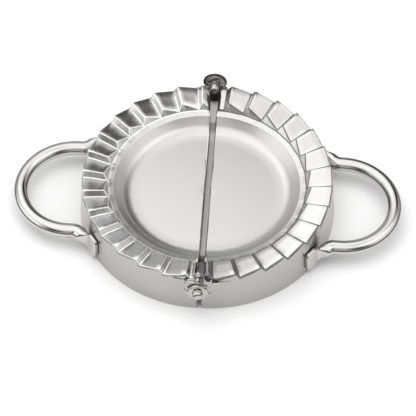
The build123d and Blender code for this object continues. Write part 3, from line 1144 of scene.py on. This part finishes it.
@dataclass
class Studio:
    """Plain pale table under a soft white tent, with one lamp and the camera."""

    levels: tuple[Point, ...] = (
        (-90, 0.9), (-8, 0.75), (0, 0.6), (8, 0.5), (18, 0.45),
        (30, 0.5), (40, 0.85), (50, 1.25), (60, 1.4), (90, 1.45),
    )
    top_level: float = 2.0
    least_level: float = 0.02
    cards: tuple[Card, ...] = (
        Card(18, 27, 28, 14, -0.42),
        Card(41, 46, 20, 7, -0.6),
        Card(-46, 41, 26, 10, 0.45),
        Card(-103, 6, 45, 14, 0.95),
        Card(-75, 57, 30, 8, 0.12),
        Card(100, 34, 42, 16, 0.6),
        Card(145, 22, 24, 8, -0.4),
        Card(-146, 22, 24, 8, -0.4),
        Card(100, 72, 22, 5, -0.4),
        Card(-5, 15, 12, 3, 0.3, "#A9C4DC"),
    )
    backdrop: str = "#F7F7F7"
    table_colour: str = "#F4F4F4"
    shade_colour: str = "#202020"
    shade_range: Point = (0.5, 0.72)
    shade_most: float = 0.9
    table_size: float = 6.0
    azimuth: float = 3.692
    elevation: float = 52.699
    roll: float = 0.006
    distance: float = 700.0
    aside: float = 0.263
    above: float = -12.354
    focal: float = 1802.339
    picture: int = 416
    sensor: float = 36.0
    lamp_place: tuple[float, float, float] = (-0.1, 0.1, 1.0)
    lamp_size: float = 0.9
    lamp_power: float = 2.2

    def tent(self, tree: Tree, ray: Socket) -> Term:
        """Brightness of the tent without its cards.

        Args:
            tree: the world's node tree.
            ray: direction looked in.

        Returns:
            The brightness as a colour.
        """
        degrees = parts_of(tree, ray)[2].math("ARCSINE").math("DEGREES")
        ramp = add_node(tree, "ShaderNodeFloatCurve", {"Value": (degrees + 90) / 180})
        points = ramp.mapping.curves[0].points
        first, *inner, last = [((e + 90) / 180, level / self.top_level) for e, level in self.levels]
        points[0].location, points[-1].location = first, last
        for place in inner:
            points.new(*place)
        for point in points:
            point.handle_type = "VECTOR"
        ramp.mapping.update()
        level = Term(tree, ramp.outputs[0]) * self.top_level
        return term(tree, "ShaderNodeCombineColor", {0: level, 1: level, 2: level})

    def world(self) -> None:
        """Makes the surroundings."""
        world = bpy.data.worlds.new("tent")
        tree = cleared(world)
        ray = add_node(tree, "ShaderNodeTexCoord").outputs["Generated"]
        colour = self.tent(tree, ray)
        for card in self.cards:
            inputs = {0: ray, 1: card.direction}
            product = add_node(tree, "ShaderNodeVectorMath", inputs, operation="DOT_PRODUCT")
            edge, core = math.cos(math.radians(card.spread)), math.cos(math.radians(card.core))
            tint = [c * card.gain for c in linear(card.tint)[:3]]
            inputs = {0: tint, 1: smooth_range(tree, product.outputs["Value"], edge, core), 2: colour}
            colour = term(tree, "ShaderNodeVectorMath", inputs, operation="MULTIPLY_ADD")
        inputs = {0: colour, 1: (self.least_level,) * 3}
        lit = term(tree, "ShaderNodeVectorMath", inputs, operation="MAXIMUM")
        seen = term(tree, "ShaderNodeBackground", {"Color": lit, "Strength": 1.0})
        plain = term(tree, "ShaderNodeBackground", {"Color": linear(self.backdrop), "Strength": 1.0})
        path = add_node(tree, "ShaderNodeLightPath").outputs["Is Camera Ray"]
        mix = term(tree, "ShaderNodeMixShader", {0: path, 1: seen, 2: plain})
        add_node(tree, "ShaderNodeOutputWorld", {"Surface": mix})
        bpy.context.scene.world = world

    def table(self) -> None:
        """Makes the plain pale table top."""
        reach = self.table_size / 2
        mesh = bpy.data.meshes.new("table_top")
        places = [(-reach, -reach, 0), (reach, -reach, 0), (reach, reach, 0), (-reach, reach, 0)]
        mesh.from_pydata(places, [], [(0, 1, 2, 3)])
        matt = bpy.data.materials.new("matt_white_table")
        tree = cleared(matt)
        # Polished metal sees the table only from above; nearer its edge it sees the dark of the room.
        glance = add_node(tree, "ShaderNodeLayerWeight", {"Blend": 0.5}).outputs["Facing"]
        glossy = add_node(tree, "ShaderNodeLightPath").outputs["Is Glossy Ray"]
        share = smooth_range(tree, glance, *self.shade_range, self.shade_most) * Term(tree, glossy)
        white = term(tree, "ShaderNodeBsdfDiffuse", {"Color": linear(self.table_colour)})
        dark = term(tree, "ShaderNodeBsdfDiffuse", {"Color": linear(self.shade_colour)})
        mix = term(tree, "ShaderNodeMixShader", {0: share, 1: white, 2: dark})
        add_node(tree, "ShaderNodeOutputMaterial", {"Surface": mix})
        mesh.materials.append(matt)
        new_object("table_top", mesh)

    def camera(self) -> None:
        """Puts the camera at the picture's viewing angle."""
        a, e, turn = math.radians(self.azimuth), math.radians(self.elevation), math.radians(self.roll)
        back = Vector((math.sin(a) * math.cos(e), -math.cos(a) * math.cos(e), math.sin(e)))
        side = (-back).cross(Vector((0, 0, 1))).normalized()
        upright = side.cross(-back)
        right = math.cos(turn) * side + math.sin(turn) * upright
        up = math.cos(turn) * upright - math.sin(turn) * side
        place = right * self.aside + up * self.above + back * self.distance
        lens = bpy.data.cameras.new("camera")
        lens.sensor_width = self.sensor
        lens.lens = self.focal / self.picture * self.sensor
        lens.clip_start, lens.clip_end = 0.01, 20.0
        obj = bpy.data.objects.new("camera", lens)
        axes = Matrix((right, up, back)).transposed().to_4x4()
        obj.matrix_world = Matrix.Translation((place + Vector((0, RING_Y, CREST_HEIGHT))) * MM) @ axes
        bpy.context.scene.collection.objects.link(obj)
        bpy.context.scene.camera = obj

    def lamp(self) -> None:
        """Adds one wide soft lamp over the table, for its even white and the soft shadow."""
        light = bpy.data.lights.new("overhead", "AREA")
        light.shape = "DISK"
        light.size = self.lamp_size
        light.energy = self.lamp_power
        obj = bpy.data.objects.new("overhead", light)
        obj.location = self.lamp_place
        obj.rotation_euler = (-Vector(self.lamp_place)).to_track_quat("-Z", "Y").to_euler()
        obj.visible_glossy = False
        bpy.context.scene.collection.objects.link(obj)

    def build(self) -> None:
        """Makes the surroundings, table, lamp and camera."""
        bpy.context.scene.view_settings.view_transform = "Standard"
        self.world()
        self.table()
        self.lamp()
        self.camera()


def corners(box: tuple[Vector, Vector]) -> list[list[float]]:
    """Both corners of a box as plain lists."""
    return [list(box[0]), list(box[1])]


def main() -> None:
    """Builds every sub-assembly in order."""
    logging.basicConfig(level=logging.INFO, format="%(message)s")
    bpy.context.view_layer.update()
    plate = PLATE_STEEL.material()
    # Fold materials: painted highlight on the left half's folds, painted shade on the right half's.
    folds = {Half.LEFT: FOLD_PAINTED_HIGHLIGHT.material(), Half.RIGHT: FOLD_PAINTED_SHADE.material()}
    wall = WALL_STEEL.material()
    rod = ROD_STEEL.material()
    turned = TURNED_STEEL.material()
    halves = (
        (DiePlate(Half.LEFT, lead_angle=4.8, other_lead_angle=2.8), Handle(Half.LEFT, turn=0.2)),
        (DiePlate(Half.RIGHT, lead_angle=2.8, other_lead_angle=4.8), Handle(Half.RIGHT, turn=-1.9)),
    )
    for die_plate, handle in halves:
        half = die_plate.half
        pieces = (die_plate.build(plate, folds[half]), CutterWall(half).build(wall), handle.build(rod))
        for piece in pieces:
            LOG.info("%s on %s: %d faces", piece.name, half.value, len(piece.data.polygons))
    # The gap strip stands in for the shade seen through the gap, in painted shade.
    strip = GapStrip().build(GAP_STEEL_PAINTED_SHADE.material())
    LOG.info("%s on left_half: %d faces", strip.name, len(strip.data.polygons))
    HingeHardware().build(turned, TURNED_STEEL_PAINTED_SHADE.material())
    Studio().build()


if __name__ == "__main__":
    main()
